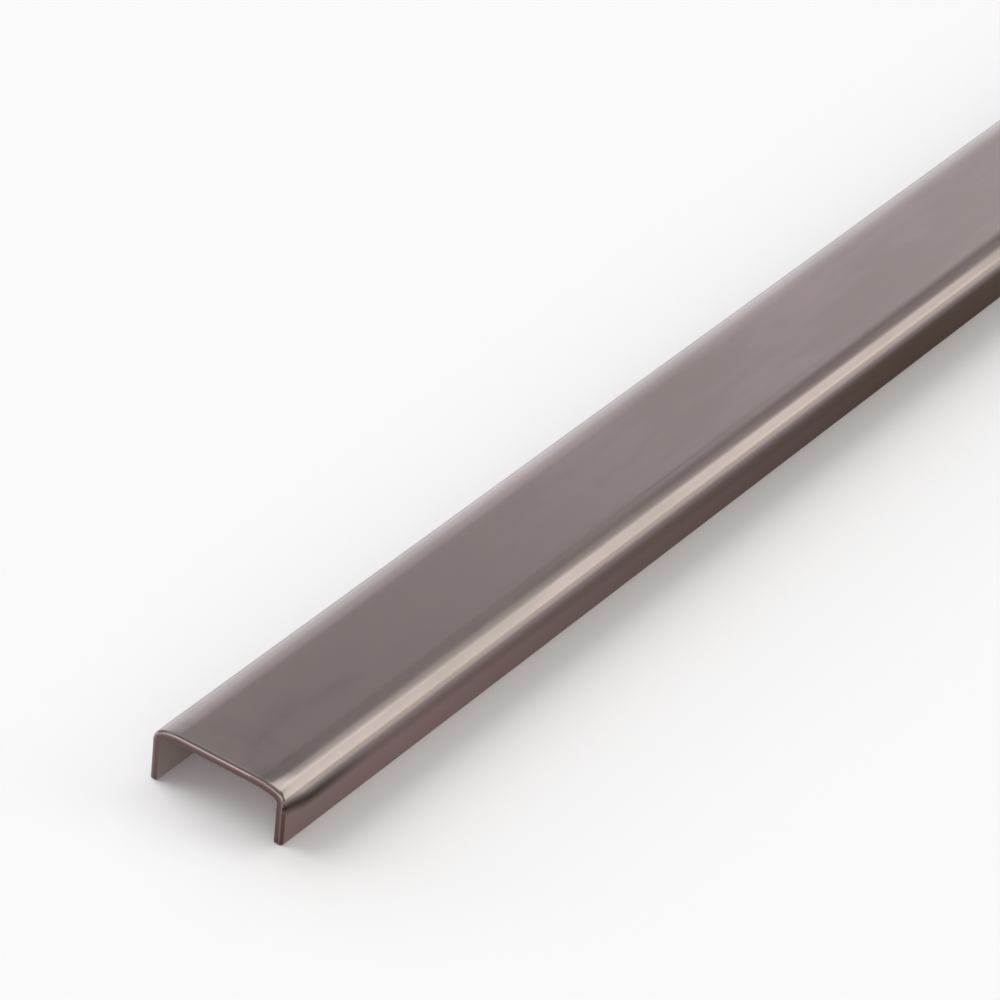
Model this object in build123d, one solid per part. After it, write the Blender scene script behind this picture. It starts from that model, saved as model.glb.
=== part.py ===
from build123d import *
import os

# A channel section pressed from one strip of bright steel sheet, sold by the metre.
# All sizes are in millimetres. It lies as it is stored: on the toes of its two legs,
# with the web on top. X runs along the stock, Y goes across it and Z is up.
# The origin is on the floor, halfway along the stock and midway between the legs.

# Sizes on the drawing of the section
stock_length = 1000.0
inside_width = 16.0
sheet_thickness = 1.0
section_height = 7.3

# Sizes that come from the tools that make it
shoulder_slope = 18.0       # the web falls away by this angle before each bend, in degrees
inside_shoulder_radius = 7.0
inside_bend_radius = 0.8    # nose of the press tool
toe_edge_radius = 0.15      # the slit edges of the strip are slightly rounded
end_roll_over = 0.4         # the shear draws down the outer edge of each cut end

# Sizes worked out from those
outside_width = inside_width + 2 * sheet_thickness
outside_shoulder_radius = inside_shoulder_radius + sheet_thickness
outside_bend_radius = inside_bend_radius + sheet_thickness
inside_height = section_height - sheet_thickness
largest_edge_radius = 0.45 * sheet_thickness
toe_radius = min(toe_edge_radius, largest_edge_radius)
roll_over_radius = min(end_roll_over, largest_edge_radius)


def corner(width, height, shoulder_radius, bend_radius):
    """One top corner of an arch: a soft shoulder that falls away from the web, then the bend into the leg."""
    shoulder = JernArc((0, 0), (1, 0), shoulder_radius, -shoulder_slope)
    bend = JernArc(shoulder @ 1, shoulder % 1, bend_radius, shoulder_slope - 90)
    reach = bend @ 1
    return Pos(width / 2 - reach.X, height) * (shoulder + bend)


def arch(width, height, shoulder_radius, bend_radius):
    """An upright outline across the stock: a flat web, two rounded corners and two legs that end on the floor."""
    turn = corner(width, height, shoulder_radius, bend_radius)
    side = turn + Line(turn @ 1, (width / 2, 0))
    web = Line((-(turn @ 0).X, height), turn @ 0)
    across_the_floor = Line((-width / 2, 0), (width / 2, 0))
    return make_face(web + side + mirror(side, Plane.YZ) + across_the_floor)


def bar(outline, length):
    """The outline drawn out along the stock, the same distance each way from the middle."""
    return extrude(Plane.YZ * outline, length / 2, both=True)


def rolled_ends(blank):
    """The blank with the edge of each cut end rounded, but not along the floor."""
    cut_ends = blank.faces().filter_by(Axis.X)
    drawn_edges = [edge for cut_end in cut_ends for edge in cut_end.edges().sort_by(Axis.Z)[1:]]
    return fillet(drawn_edges, roll_over_radius)


def channel_section():
    """The bent strip: an outer form less an inner one, with its toes rounded last."""
    outer_arch = arch(outside_width, section_height, outside_shoulder_radius, outside_bend_radius)
    inner_arch = arch(inside_width, inside_height, inside_shoulder_radius, inside_bend_radius)
    outer_form = rolled_ends(bar(outer_arch, stock_length))
    inner_form = bar(inner_arch, stock_length + outside_width)
    bent_strip = outer_form - inner_form
    toe_edges = bent_strip.edges().filter_by(Axis.X).group_by(Axis.Z)[0]
    return fillet(toe_edges, toe_radius)


os.makedirs("parts", exist_ok=True)
export_step(channel_section(), "parts/channel_section.step")
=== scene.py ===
from math import cos, hypot, pi, radians, sin, tan

import bmesh
import bpy
from mathutils import Matrix, Vector


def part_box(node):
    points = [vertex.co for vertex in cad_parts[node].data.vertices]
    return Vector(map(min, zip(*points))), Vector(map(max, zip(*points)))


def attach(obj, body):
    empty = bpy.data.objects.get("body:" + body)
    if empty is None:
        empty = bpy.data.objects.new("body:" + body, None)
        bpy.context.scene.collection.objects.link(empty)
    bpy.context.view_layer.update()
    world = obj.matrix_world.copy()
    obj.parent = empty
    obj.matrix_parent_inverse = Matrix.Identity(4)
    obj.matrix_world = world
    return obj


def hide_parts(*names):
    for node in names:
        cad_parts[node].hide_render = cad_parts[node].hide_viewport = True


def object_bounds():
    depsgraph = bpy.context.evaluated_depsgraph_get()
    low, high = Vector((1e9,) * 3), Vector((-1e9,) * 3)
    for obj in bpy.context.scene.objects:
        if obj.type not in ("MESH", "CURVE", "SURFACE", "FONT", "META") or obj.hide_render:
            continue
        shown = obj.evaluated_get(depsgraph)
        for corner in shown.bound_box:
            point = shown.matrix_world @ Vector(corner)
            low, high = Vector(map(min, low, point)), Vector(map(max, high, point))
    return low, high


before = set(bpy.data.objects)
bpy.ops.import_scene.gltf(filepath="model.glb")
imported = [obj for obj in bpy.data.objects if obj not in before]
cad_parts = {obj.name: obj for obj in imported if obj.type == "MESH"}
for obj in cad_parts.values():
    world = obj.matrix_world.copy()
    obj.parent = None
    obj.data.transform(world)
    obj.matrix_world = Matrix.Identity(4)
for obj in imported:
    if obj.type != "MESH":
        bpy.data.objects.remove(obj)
cad_low, cad_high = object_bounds()


# The channel: one strip of 1 mm cold-rolled steel sheet, pressed over a nose into a web and two
# short legs. The web falls away over a soft shoulder that eases into each bend. The outer skin is
# laid out across the stock, then drawn out along it, and gets its thickness towards the inside.
MM = 0.001
HAIR = 0.001 * MM
SHEET = 1.0 * MM
SHOULDER_SLOPE = radians(18)
OUTSIDE_SHOULDER = 8.0 * MM
OUTSIDE_BEND = 1.8 * MM
SHOULDER_STEPS, BEND_STEPS, WEB_STRIPS = 8, 24, 10
EASED_WITHIN, EASING_PASSES = 0.8 * MM, 7
LEG_ROWS = [row * MM for row in (0.8, 1.2, 1.6, 2.0, 2.4, 2.9, 3.5, 4.2)]
STATIONS_NEAR_A_CUT = [
    step * MM for step in (0.6, 0.95, 1.3, 1.7, 2.1, 2.6, 3.1, 3.7, 4.4, 5.2, 6.0)]

low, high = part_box("channel_section")
bend_y = high.y - OUTSIDE_BEND
shoulder_y = bend_y - (OUTSIDE_SHOULDER - OUTSIDE_BEND) * sin(SHOULDER_SLOPE)
shoulder_z = high.z - OUTSIDE_SHOULDER
bend_z = shoulder_z + (OUTSIDE_SHOULDER - OUTSIDE_BEND) * cos(SHOULDER_SLOPE)
shoulder_end_y = shoulder_y + OUTSIDE_SHOULDER * sin(SHOULDER_SLOPE)


def verts_of(parts):
    return [part for part in parts if isinstance(part, bmesh.types.BMVert)]


def turn_over(bm, vert, side, centre_y, centre_z, angle, steps):
    """Carries a vertex of the outline round one corner of the section, and gives the last one."""
    arc = bmesh.ops.spin(bm, geom=[vert], cent=(low.x, side * centre_y, centre_z),
                         axis=(1, 0, 0), angle=-side * angle, steps=steps)
    return verts_of(arc["geom_last"])[0]


def outline(bm):
    """Web, shoulders, bends and legs as one line across the near end, eased where shoulder meets bend."""
    web_ends = [bm.verts.new((low.x, side * shoulder_y, high.z)) for side in (-1, 1)]
    web = bm.edges.new(web_ends)
    for web_end, side in zip(web_ends, (-1, 1)):
        slope_end = turn_over(bm, web_end, side, shoulder_y, shoulder_z, SHOULDER_SLOPE, SHOULDER_STEPS)
        leg_top = turn_over(bm, slope_end, side, bend_y, bend_z, pi / 2 - SHOULDER_SLOPE, BEND_STEPS)
        for row in LEG_ROWS + [bend_z - low.z]:
            leg_top = bmesh.ops.extrude_vert_indiv(bm, verts=[leg_top])["verts"][0]
            leg_top.co.z = bend_z - row
    bmesh.ops.subdivide_edges(bm, edges=[web], cuts=WEB_STRIPS - 1)
    eased = [vert for vert in bm.verts
             if vert.co.z > bend_z and abs(abs(vert.co.y) - shoulder_end_y) < EASED_WITHIN]
    for _ in range(EASING_PASSES):
        bmesh.ops.smooth_vert(bm, verts=eased, factor=0.5,
                              use_axis_x=True, use_axis_y=True, use_axis_z=True)


def draw_out(bm):
    """The outline drawn out along the stock to a sheet of faces, with stations close to both cut ends."""
    length = high.x - low.x
    far_stations = [length - station for station in reversed(STATIONS_NEAR_A_CUT)]
    front, reached = bm.edges[:], 0.0
    for station in STATIONS_NEAR_A_CUT + far_stations + [length]:
        drawn = bmesh.ops.extrude_edge_only(bm, edges=front)["geom"]
        moved = set(verts_of(drawn))
        bmesh.ops.translate(bm, verts=list(moved), vec=(station - reached, 0, 0))
        front = [edge for edge in bm.edges if edge.verts[0] in moved and edge.verts[1] in moved]
        reached = station
    bmesh.ops.recalc_face_normals(bm, faces=bm.faces[:])


def depth_in_sheet(point):
    """How far a point lies under the outer skin of the strip."""
    across = abs(point.y)
    if across <= shoulder_y:
        return high.z - point.z
    if across - shoulder_y <= (point.z - shoulder_z) * tan(SHOULDER_SLOPE):
        return OUTSIDE_SHOULDER - hypot(across - shoulder_y, point.z - shoulder_z)
    if point.z <= bend_z:
        return high.y - across
    return OUTSIDE_BEND - hypot(across - bend_y, point.z - bend_z)


# The shear that cuts the stock drags its skin a little inwards, most at the corner that it leaves
# last, and dents the leg under that corner. It rolls the outer edge of the cut over and leaves the
# inner edge almost sharp. The marks fade out within a few millimetres.
DRAW_LENGTH = 3.5 * MM
WEB_DRAW, CORNER_DRAW, CORNER_REACH = 0.03 * MM, 0.10 * MM, 3.5 * MM
DENT_DEPTH, DENT_BELOW_BEND, DENT_REACH, DENT_LENGTH = 0.02 * MM, 1.3 * MM, 1.6 * MM, 4.5 * MM
END_ROLL_OVER, ROLL_OVER_SEGMENTS, OUTER_EDGE_ABOVE = 0.4 * MM, 5, 0.3 * SHEET
BURR_ROUNDING, BURR_SEGMENTS, INNER_EDGE_BELOW = 0.07 * MM, 2, 0.98 * SHEET
TOE_ROUNDING, TOE_SEGMENTS = 0.15 * MM, 3
FACES_A_CUT_FROM, SHARP_FROM = 0.9, radians(35)
DEPTH_IN_MM = "depth_mm"


def fade(distance, reach):
    """Falls smoothly from 1 at no distance to 0 at the reach."""
    share = min(1.0, abs(distance) / reach)
    return (1.0 - share) ** 2 * (1.0 + 2.0 * share)


def drawn_by_the_shear(point):
    """How far the skin is dragged inwards at a point."""
    from_the_cut = min(point.x - low.x, high.x - point.x)
    over_the_end = max(0.0, 1.0 - from_the_cut / DRAW_LENGTH) ** 2
    last_corner = fade(point.y + bend_y, CORNER_REACH) if point.z > bend_z else 0.0
    under_the_corner = fade(point.z - (bend_z - DENT_BELOW_BEND), DENT_REACH) if point.y < -bend_y else 0.0
    return (over_the_end * (WEB_DRAW + CORNER_DRAW * last_corner)
            + fade(from_the_cut, DENT_LENGTH) * DENT_DEPTH * under_the_corner)


def edges_of_the_cuts(bm, fits):
    """The edges of both cut ends that lie at a depth in the sheet that fits."""
    at_a_cut = {vert for vert in bm.verts
                if min(vert.co.x - low.x, high.x - vert.co.x) < HAIR and fits(depth_in_sheet(vert.co))}
    return [edge for edge in bm.edges if at_a_cut.issuperset(edge.verts)]


def round_off(bm, edges, width, segments):
    bmesh.ops.bevel(bm, geom=edges, offset=width, offset_type="OFFSET", affect="EDGES",
                    segments=segments, profile=0.5, material=-1)


bm = bmesh.new()
outline(bm)
draw_out(bm)
inwards = [(vert, vert.normal * -drawn_by_the_shear(vert.co)) for vert in bm.verts]
for vert, shift in inwards:
    bmesh.ops.translate(bm, verts=[vert], vec=shift)
bmesh.ops.solidify(bm, geom=bm.faces[:], thickness=SHEET)

outer_edges = edges_of_the_cuts(bm, lambda depth: depth < OUTER_EDGE_ABOVE)
round_off(bm, outer_edges, END_ROLL_OVER, ROLL_OVER_SEGMENTS)
toe_edges = [edge for edge in bm.edges if all(vert.co.z - low.z < HAIR for vert in edge.verts)
             and edge.verts[0].co.x != edge.verts[1].co.x]
round_off(bm, toe_edges, TOE_ROUNDING, TOE_SEGMENTS)
inner_edges = edges_of_the_cuts(bm, lambda depth: depth > INNER_EDGE_BELOW)
round_off(bm, inner_edges, BURR_ROUNDING, BURR_SEGMENTS)

for face in bm.faces:
    face.smooth = True
    face.material_index = int(abs(face.normal.x) > FACES_A_CUT_FROM)
for edge in bm.edges:
    edge.smooth = edge.calc_face_angle(0.0) < SHARP_FROM

mesh = bpy.data.meshes.new("channel")
bm.to_mesh(mesh)
bm.free()
depths = mesh.attributes.new(DEPTH_IN_MM, "FLOAT", "POINT")
for vert in mesh.vertices:
    depths.data[vert.index].value = depth_in_sheet(vert.co) / MM
channel = bpy.data.objects.new("channel", mesh)
bpy.context.scene.collection.objects.link(channel)
flats = channel.modifiers.new("flats_stay_flat", "WEIGHTED_NORMAL")
flats.keep_sharp = True


def colour(hex_code):
    """A colour as a screen shows it, turned to linear light."""
    shares = [int(hex_code[i:i + 2], 16) / 255 for i in (1, 3, 5)]
    return [c / 12.92 if c <= 0.04045 else ((c + 0.055) / 1.055) ** 2.4 for c in shares] + [1.0]


def add_node(tree, kind, inputs={}, **settings):
    """Adds a node with its settings, and sets or links its sockets by name or number."""
    node = tree.nodes.new(kind)
    for name, value in settings.items():
        setattr(node, name, value)
    for key, value in inputs.items():
        if isinstance(value, bpy.types.NodeSocket):
            tree.links.new(value, node.inputs[key])
        else:
            node.inputs[key].default_value = value
    return node


def new_material(name):
    material = bpy.data.materials.new(name)
    material.use_nodes = True
    material.node_tree.nodes.clear()
    return material


# Bright cold-rolled steel has no scale or coating: a satin grey with a warm, faintly lilac cast.
# The mill's rolls leave lines along it about 0.05 mm apart, drawn here ten times as coarse to show,
# and the oil it was rolled in leaves a thin uneven film. The inside is painted lighter, as painted light
# in its shade.
STEEL, FILMED_STEEL, INNER_STEEL_PAINTED_LIGHT = "#a39699", "#9c9292", "#cbbebb"
LINE_SPACING, LINE_LENGTH, LINE_HEIGHT = 0.5 * MM, 60 * MM, 0.0012 * MM
FILM_WIDTH, FILM_LENGTH = 5.0 * MM, 22.0 * MM
BARE_ROUGHNESS, FILMED_ROUGHNESS = 0.14, 0.22
INSIDE_FROM_MM = 0.9

# Marks on the outer skin: a lighter, warmer band over each bend, a painted highlight; brown painted
# shade on the legs, deeper away from the ends; a dark line of painted shade on each leg, blackest at
# the cuts, and a painted dark edge on each leg at a cut; and faint grey spots beside a cut.
# A painted highlight: a lighter, warmer band over each bend.
SHEEN_PAINT, SHEEN_PAINT_HEIGHT, SHEEN_PAINT_HALF_WIDTH = "#b1a099", bend_z + 0.58 * MM, 0.55 * MM
# Painted shade: two browns that darken the legs, more away from the ends.
THIN_SHADE_PAINT, DEEP_SHADE_PAINT = "#9b8483", "#5a3e32"
SHADE_PAINT_BELOW, SHADE_PAINT_FULL_BELOW = bend_z + 0.25 * MM, bend_z - 1.2 * MM
SHADE_PAINT_PALER_WITHIN, SHADE_PAINT_FULL_FROM_END = 22.0 * MM, 125.0 * MM
# Painted shade: a dark line along each leg, and a dark edge on each leg at a cut.
SHADE_LINE_PAINT, SHADE_LINE_PAINT_HALF_WIDTH = "#3d2e25", 1.4 * MM
SHADE_LINE_PAINT_HEIGHT, SHADE_LINE_PAINT_HEIGHT_AT_A_CUT, RISES_WITHIN = 4.2 * MM, 5.0 * MM, 5.0 * MM
SHADE_LINE_PAINT_FALL, FALLS_OVER = 1.1 * MM, 110.0 * MM
BLACK_WITHIN, FAINT_FROM, FAINT_LINE = 4.0 * MM, 18.0 * MM, 0.28
EDGE_SHADE_PAINT, EDGE_SHADE_PAINT_WIDTH = 0.8, 0.5 * MM
GREY_SPOTS, SPOT_SIZE, SPOTS_REACH = "#959090", 3.0 * MM, 18.0 * MM


def cold_rolled_steel():
    """The skin of the strip, inside and out."""
    material = new_material("cold_rolled_steel")
    tree = material.node_tree
    place = add_node(tree, "ShaderNodeTexCoord").outputs["Object"]
    x, _, z = add_node(tree, "ShaderNodeSeparateXYZ", {"Vector": place}).outputs
    from_the_middle = add_node(tree, "ShaderNodeMath", {0: x}, operation="ABSOLUTE").outputs["Value"]
    from_a_cut = add_node(tree, "ShaderNodeMath", {
        0: high.x, 1: from_the_middle}, operation="SUBTRACT").outputs["Value"]

    # the rolling lines and the film of oil
    along_the_lines = add_node(tree, "ShaderNodeMapping", {
        "Vector": place, "Scale": (1 / LINE_LENGTH, 1 / LINE_SPACING, 1 / LINE_SPACING)})
    lines = add_node(tree, "ShaderNodeTexNoise", {
        "Vector": along_the_lines.outputs["Vector"], "Scale": 1.0, "Detail": 5.0, "Roughness": 0.65})
    along_the_film = add_node(tree, "ShaderNodeMapping", {
        "Vector": place, "Scale": (1 / FILM_LENGTH, 1 / FILM_WIDTH, 1 / FILM_WIDTH)})
    film = add_node(tree, "ShaderNodeTexNoise", {
        "Vector": along_the_film.outputs["Vector"], "Scale": 1.0, "Detail": 3.0, "Roughness": 0.55})
    filmed = add_node(tree, "ShaderNodeMapRange", {
        "Value": film.outputs["Fac"], "From Min": 0.35, "From Max": 0.65},
        interpolation_type="SMOOTHSTEP")

    # the painted sheen: a painted highlight over each bend
    above_the_band = add_node(tree, "ShaderNodeMath", {0: z, 1: SHEEN_PAINT_HEIGHT}, operation="SUBTRACT")
    beside_the_band = add_node(tree, "ShaderNodeMath", {
        0: above_the_band.outputs["Value"]}, operation="ABSOLUTE")
    painted_sheen = add_node(tree, "ShaderNodeMapRange", {
        "Value": beside_the_band.outputs["Value"], "From Min": SHEEN_PAINT_HALF_WIDTH, "From Max": 0.0},
        interpolation_type="SMOOTHSTEP")

    # the grey spots
    spots = add_node(tree, "ShaderNodeTexNoise", {
        "Vector": place, "Scale": 1 / SPOT_SIZE, "Detail": 2.0, "Roughness": 0.5})
    clear_spots = add_node(tree, "ShaderNodeMapRange", {
        "Value": spots.outputs["Fac"], "From Min": 0.35, "From Max": 0.7},
        interpolation_type="SMOOTHSTEP")
    near_a_cut = add_node(tree, "ShaderNodeMapRange", {
        "Value": from_a_cut, "From Min": SPOTS_REACH, "From Max": 0.0})
    spotted = add_node(tree, "ShaderNodeMath", {
        0: clear_spots.outputs["Result"], 1: near_a_cut.outputs["Result"]}, operation="MULTIPLY")

    # painted shade on the legs, deeper away from the ends
    down_the_leg = add_node(tree, "ShaderNodeMapRange", {
        "Value": z, "From Min": SHADE_PAINT_BELOW, "From Max": SHADE_PAINT_FULL_BELOW},
        interpolation_type="SMOOTHSTEP")
    shade_deepens_along = add_node(tree, "ShaderNodeMapRange", {
        "Value": from_a_cut, "From Min": SHADE_PAINT_PALER_WITHIN, "From Max": SHADE_PAINT_FULL_FROM_END})
    painted_leg_shade = add_node(tree, "ShaderNodeMath", {
        0: down_the_leg.outputs["Result"], 1: shade_deepens_along.outputs["Result"]}, operation="MULTIPLY")

    # painted shade: a dark line along each leg, and a dark edge on each leg at a cut
    shade_line_height = add_node(tree, "ShaderNodeMapRange", {
        "Value": from_a_cut, "From Min": 0.0, "From Max": FALLS_OVER,
        "To Min": SHADE_LINE_PAINT_HEIGHT, "To Max": SHADE_LINE_PAINT_HEIGHT - SHADE_LINE_PAINT_FALL})
    rise_at_a_cut = add_node(tree, "ShaderNodeMapRange", {
        "Value": from_a_cut, "From Min": 0.0, "From Max": RISES_WITHIN,
        "To Min": SHADE_LINE_PAINT_HEIGHT_AT_A_CUT - SHADE_LINE_PAINT_HEIGHT, "To Max": 0.0},
        interpolation_type="SMOOTHSTEP")
    above_the_fall = add_node(tree, "ShaderNodeMath", {
        0: z, 1: shade_line_height.outputs["Result"]}, operation="SUBTRACT")
    above_the_line = add_node(tree, "ShaderNodeMath", {
        0: above_the_fall.outputs["Value"], 1: rise_at_a_cut.outputs["Result"]}, operation="SUBTRACT")
    beside_the_line = add_node(tree, "ShaderNodeMath", {
        0: above_the_line.outputs["Value"]}, operation="ABSOLUTE")
    on_the_line = add_node(tree, "ShaderNodeMapRange", {
        "Value": beside_the_line.outputs["Value"], "From Min": SHADE_LINE_PAINT_HALF_WIDTH, "From Max": 0.0},
        interpolation_type="SMOOTHSTEP")
    blackness = add_node(tree, "ShaderNodeMapRange", {
        "Value": from_a_cut, "From Min": BLACK_WITHIN, "From Max": FAINT_FROM,
        "To Min": 1.0, "To Max": FAINT_LINE}, interpolation_type="SMOOTHSTEP")
    painted_shade_line = add_node(tree, "ShaderNodeMath", {
        0: on_the_line.outputs["Result"], 1: blackness.outputs["Result"]}, operation="MULTIPLY")
    on_the_edge = add_node(tree, "ShaderNodeMapRange", {
        "Value": from_a_cut, "From Min": EDGE_SHADE_PAINT_WIDTH, "From Max": EDGE_SHADE_PAINT_WIDTH / 2,
        "To Min": 0.0, "To Max": EDGE_SHADE_PAINT})
    painted_edge_shade = add_node(tree, "ShaderNodeMath", {
        0: on_the_edge.outputs["Result"], 1: down_the_leg.outputs["Result"]}, operation="MULTIPLY")
    painted_shade = add_node(tree, "ShaderNodeMath", {
        0: painted_shade_line.outputs["Value"], 1: painted_edge_shade.outputs["Value"]}, operation="MAXIMUM")

    # the inside, painted lighter: painted light where the channel shades it
    depth = add_node(tree, "ShaderNodeAttribute", attribute_name=DEPTH_IN_MM).outputs["Fac"]
    inside = add_node(tree, "ShaderNodeMath", {0: depth, 1: INSIDE_FROM_MM}, operation="GREATER_THAN")

    # each layer over the ones before it; the sheen, the leg shade, the dark line and edge and the lighter
    # inside are painted light and shade
    skin = colour(STEEL)
    for share, tint in ((filmed.outputs["Result"], FILMED_STEEL), (painted_sheen.outputs["Result"], SHEEN_PAINT),
                        (spotted.outputs["Value"], GREY_SPOTS), (down_the_leg.outputs["Result"], THIN_SHADE_PAINT),
                        (painted_leg_shade.outputs["Value"], DEEP_SHADE_PAINT), (painted_shade.outputs["Value"], SHADE_LINE_PAINT),
                        (inside.outputs["Value"], INNER_STEEL_PAINTED_LIGHT)):
        skin = add_node(tree, "ShaderNodeMix", {
            "Factor": share, "A": skin, "B": colour(tint)}, data_type="RGBA").outputs["Result"]

    uneven_gloss = add_node(tree, "ShaderNodeMapRange", {
        "Value": film.outputs["Fac"], "From Min": 0.3, "From Max": 0.7,
        "To Min": BARE_ROUGHNESS, "To Max": FILMED_ROUGHNESS})
    relief = add_node(tree, "ShaderNodeBump", {
        "Height": lines.outputs["Fac"], "Strength": 1.0, "Distance": LINE_HEIGHT})
    shader = add_node(tree, "ShaderNodeBsdfPrincipled", {
        "Base Color": skin, "Metallic": 1.0,
        "Roughness": uneven_gloss.outputs["Result"], "Normal": relief.outputs["Normal"]})
    add_node(tree, "ShaderNodeOutputMaterial", {"Surface": shader.outputs["BSDF"]})
    return material


# The cut ends are bare steel that the shear went through: the blade burnishes the sheet next to its
# outer skin, and the rest tears off dull, with a grain of about 0.1 mm.
BURNISHED, TORN = "#816c6b", "#6c5958"
BURNISHED_TO_MM, FADES_OVER_MM = 0.5, 0.16
BURNISHED_ROUGHNESS, TORN_ROUGHNESS = 0.3, 0.55
TEAR_SIZE, TEAR_HEIGHT = 0.12 * MM, 0.02 * MM


def sheared_steel():
    """The cut through the sheet, by its depth under the outer skin."""
    material = new_material("sheared_steel")
    tree = material.node_tree
    place = add_node(tree, "ShaderNodeTexCoord").outputs["Object"]
    depth = add_node(tree, "ShaderNodeAttribute", attribute_name=DEPTH_IN_MM).outputs["Fac"]
    grain = add_node(tree, "ShaderNodeTexNoise", {
        "Vector": place, "Scale": 1 / TEAR_SIZE, "Detail": 3.0, "Roughness": 0.6})
    torn = add_node(tree, "ShaderNodeMapRange", {
        "Value": depth, "From Min": BURNISHED_TO_MM - FADES_OVER_MM / 2,
        "From Max": BURNISHED_TO_MM + FADES_OVER_MM / 2}, interpolation_type="SMOOTHSTEP")
    skin = add_node(tree, "ShaderNodeMix", {
        "Factor": torn.outputs["Result"], "A": colour(BURNISHED), "B": colour(TORN)}, data_type="RGBA")
    roughness = add_node(tree, "ShaderNodeMapRange", {
        "Value": torn.outputs["Result"], "To Min": BURNISHED_ROUGHNESS, "To Max": TORN_ROUGHNESS})
    relief = add_node(tree, "ShaderNodeBump", {
        "Height": grain.outputs["Fac"], "Strength": torn.outputs["Result"], "Distance": TEAR_HEIGHT})
    shader = add_node(tree, "ShaderNodeBsdfPrincipled", {
        "Base Color": skin.outputs["Result"], "Metallic": 1.0,
        "Roughness": roughness.outputs["Result"], "Normal": relief.outputs["Normal"]})
    add_node(tree, "ShaderNodeOutputMaterial", {"Surface": shader.outputs["BSDF"]})
    return material


mesh.materials.append(cold_rolled_steel())
mesh.materials.append(sheared_steel())
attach(channel, "root")
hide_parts("channel_section")


# The floor: a wide, pale, matt sheet that the channel lies on. It takes the soft shadow of the web
# and of the legs.
FLOOR_REACH = 40.0
FLOOR_PAINT = "#f6f9fe"
bm = bmesh.new()
bmesh.ops.create_grid(bm, x_segments=1, y_segments=1, size=FLOOR_REACH / 2)
floor_mesh = bpy.data.meshes.new("floor")
bm.to_mesh(floor_mesh)
bm.free()
floor = bpy.data.objects.new("floor", floor_mesh)
bpy.context.scene.collection.objects.link(floor)
matt = new_material("matt_white_floor")
paint = add_node(matt.node_tree, "ShaderNodeBsdfDiffuse", {"Color": colour(FLOOR_PAINT)})
add_node(matt.node_tree, "ShaderNodeOutputMaterial", {"Surface": paint.outputs["BSDF"]})
floor_mesh.materials.append(matt)


# The light: a dim warm room with wide panels of soft light, given in degrees. Headings start from
# the far end of the stock (+X) and grow towards its right side (-Y), and elevations are above the
# floor. The edges of the panels fade, so that the steel shows no hard reflections.
ROOM_LEVEL, ROOM_COLOUR = 0.19, "#ffeedf"
HEADINGS_START = -110
LEANS_FROM = 25
# Each panel has its level, its colour, its lean, its headings and its elevations. It grows from
# nothing to its full level over the first two angles and fades over the last two, and its headings
# shift back by its lean for each degree of elevation past LEANS_FROM.
PANELS = {
    "wide_softbox_on_the_right": (1.60, "#fbfdf1", 1.4, (19, 40.5, 60, 76), (-8, 8.5, 52, 68)),
    "screen_beyond_the_far_end": (0.24, "#ffffff", 0, (-42, -28, 10, 20), (28, 38, 70, 80)),
    "screen_on_the_left": (0.68, "#ffffff", 0, (-75, -60, -20, -10), (-20, -10, 33.3, 36.2)),
    "low_light_on_the_left": (0.84, "#eafaff", 0, (-80, -62, -26, -12), (-20, -10, 1, 32)),
    "screen_high_on_the_left": (0.50, "#ffffff", 0, (-109, -108, -40, -32), (35, 38, 50, 60)),
    "narrow_screen_at_the_far_left": (0.40, "#ffffff", 0, (-27, -23, -20, -14), (-20, -10, 37.5, 41)),
    "light_overhead": (0.24, "#ffffff", 0, (-109, -108, 248, 249), (47, 61, 91, 92)),
    "pale_wall_on_the_right": (0.25, "#fff8f4", 0, (70, 84, 124, 138), (-20, -10, 55, 70)),
    "pale_wall_on_the_left": (0.25, "#fff8f4", 0, (-109, -108, -85, -65), (-20, -10, 40, 55)),
    "window_at_the_near_end": (1.5, "#fff6ee", 0, (118, 145, 212, 249), (-20, -10, 26, 44)),
}
world = bpy.data.worlds.new("pale_room")
bpy.context.scene.world = world
world.use_nodes = True
room = world.node_tree
room.nodes.clear()
looking = add_node(room, "ShaderNodeTexCoord").outputs["Generated"]
x, y, z = add_node(room, "ShaderNodeSeparateXYZ", {"Vector": looking}).outputs
rightwards = add_node(room, "ShaderNodeMath", {0: y, 1: -1.0}, operation="MULTIPLY").outputs["Value"]
turned = add_node(room, "ShaderNodeMath", {0: rightwards, 1: x}, operation="ARCTAN2").outputs["Value"]
heading = add_node(room, "ShaderNodeMath", {
    0: turned, 1: radians(HEADINGS_START + 360), 2: radians(HEADINGS_START)},
    operation="WRAP").outputs["Value"]
elevation = add_node(room, "ShaderNodeMath", {0: z}, operation="ARCSINE").outputs["Value"]
past_the_lean = add_node(room, "ShaderNodeMapRange", {
    "Value": elevation, "From Min": radians(LEANS_FROM), "From Max": radians(90),
    "To Min": 0.0, "To Max": radians(90 - LEANS_FROM)}).outputs["Result"]
room_light = [ROOM_LEVEL * share for share in colour(ROOM_COLOUR)[:3]]
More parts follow.
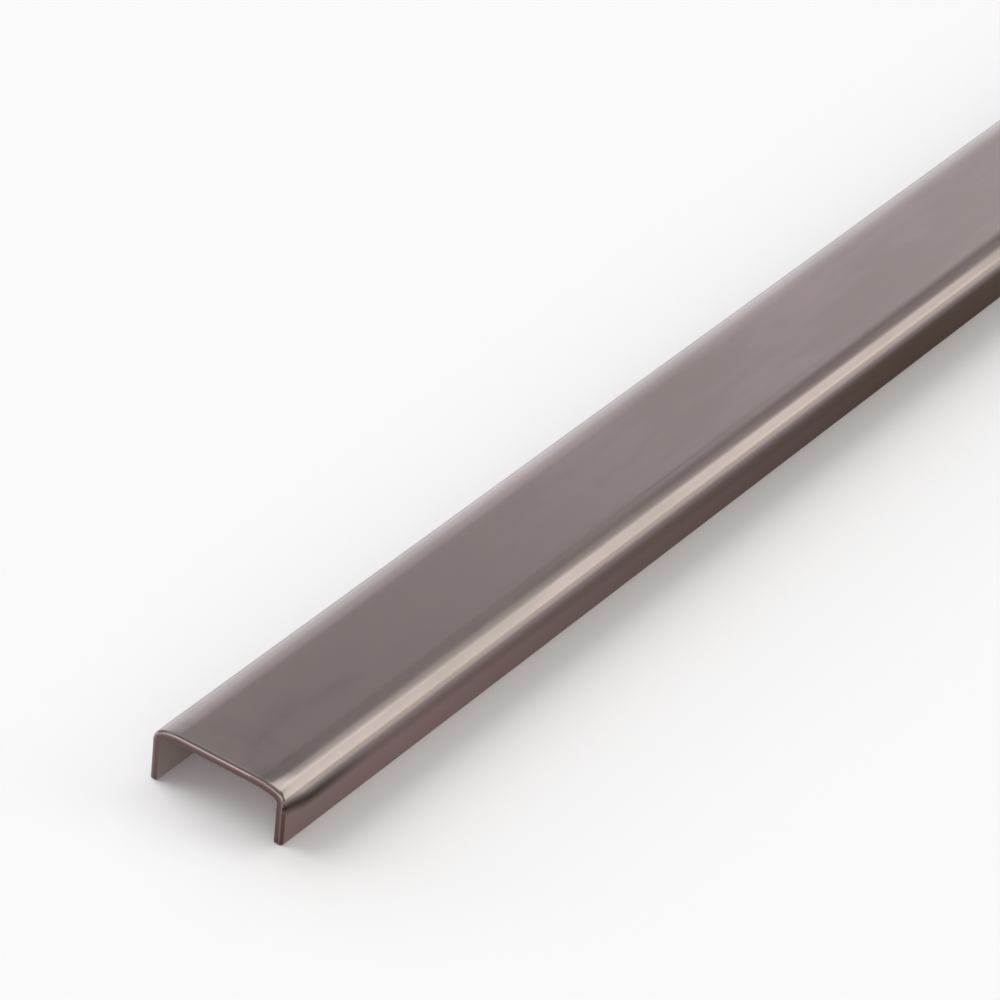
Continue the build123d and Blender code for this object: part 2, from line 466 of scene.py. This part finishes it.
for level, tint, lean, headings, elevations in PANELS.values():
    lit = 1.0
    leaning = add_node(room, "ShaderNodeMath", {
        0: past_the_lean, 1: float(lean), 2: heading}, operation="MULTIPLY_ADD").outputs["Value"]
    for angle, (starts, full, fades, ends) in ((leaning, headings), (elevation, elevations)):
        for first, last, begin, end in ((starts, full, 0.0, 1.0), (fades, ends, 1.0, 0.0)):
            edge = add_node(room, "ShaderNodeMapRange", {
                "Value": angle, "From Min": radians(first), "From Max": radians(last),
                "To Min": begin, "To Max": end}, interpolation_type="SMOOTHSTEP")
            lit = add_node(room, "ShaderNodeMath", {
                0: lit, 1: edge.outputs["Result"]}, operation="MULTIPLY").outputs["Value"]
    room_light = add_node(room, "ShaderNodeVectorMath", {
        0: lit, 1: [level * share for share in colour(tint)[:3]], 2: room_light},
        operation="MULTIPLY_ADD").outputs["Vector"]
background = add_node(room, "ShaderNodeBackground", {"Color": room_light, "Strength": 1.0})
add_node(room, "ShaderNodeOutputWorld", {"Surface": background.outputs["Background"]})


# The lamp: one broad light on the left of the stock, which lights the floor and draws the soft
# shadow. It is kept out of the steel's reflections, where it would glint on a cut end.
LAMP_LEVEL, LAMP_SPREAD = 2.4, radians(64)
LAMP_HEADING, LAMP_ELEVATION = radians(-92), radians(30)
lamp = bpy.data.lights.new("broad_lamp", "SUN")
lamp.energy = LAMP_LEVEL
lamp.angle = LAMP_SPREAD
lamp_object = bpy.data.objects.new("broad_lamp", lamp)
lamp_object.rotation_euler = (0, pi / 2 - LAMP_ELEVATION, -LAMP_HEADING)
lamp_object.visible_glossy = False
bpy.context.scene.collection.objects.link(lamp_object)


# The camera: a long lens beyond the near end, to the right of the stock, that looks down along it.
# It is placed by where the middle of the near end's foot lies from it.
CAMERA_HEADING, CAMERA_DIP, CAMERA_ROLL = radians(32.246), radians(34.885), radians(6.124)
END_FROM_CAMERA = Vector((-30.60, -33.44, -643.58)) * MM
camera = bpy.data.cameras.new("camera")
camera.lens = 216.0
camera.sensor_width = 36.0
camera.sensor_fit = "HORIZONTAL"
camera.clip_start = 0.01
camera_object = bpy.data.objects.new("camera", camera)
turn = (Matrix.Rotation(CAMERA_HEADING - pi / 2, 4, "Z")
        @ Matrix.Rotation(pi / 2 - CAMERA_DIP, 4, "X")
        @ Matrix.Rotation(CAMERA_ROLL, 4, "Z"))
near_end = Vector((cad_low.x, 0, cad_low.z))
camera_object.matrix_world = Matrix.Translation(near_end - turn @ END_FROM_CAMERA) @ turn
bpy.context.scene.collection.objects.link(camera_object)
bpy.context.scene.camera = camera_object
bpy.context.scene.view_settings.view_transform = "Standard"
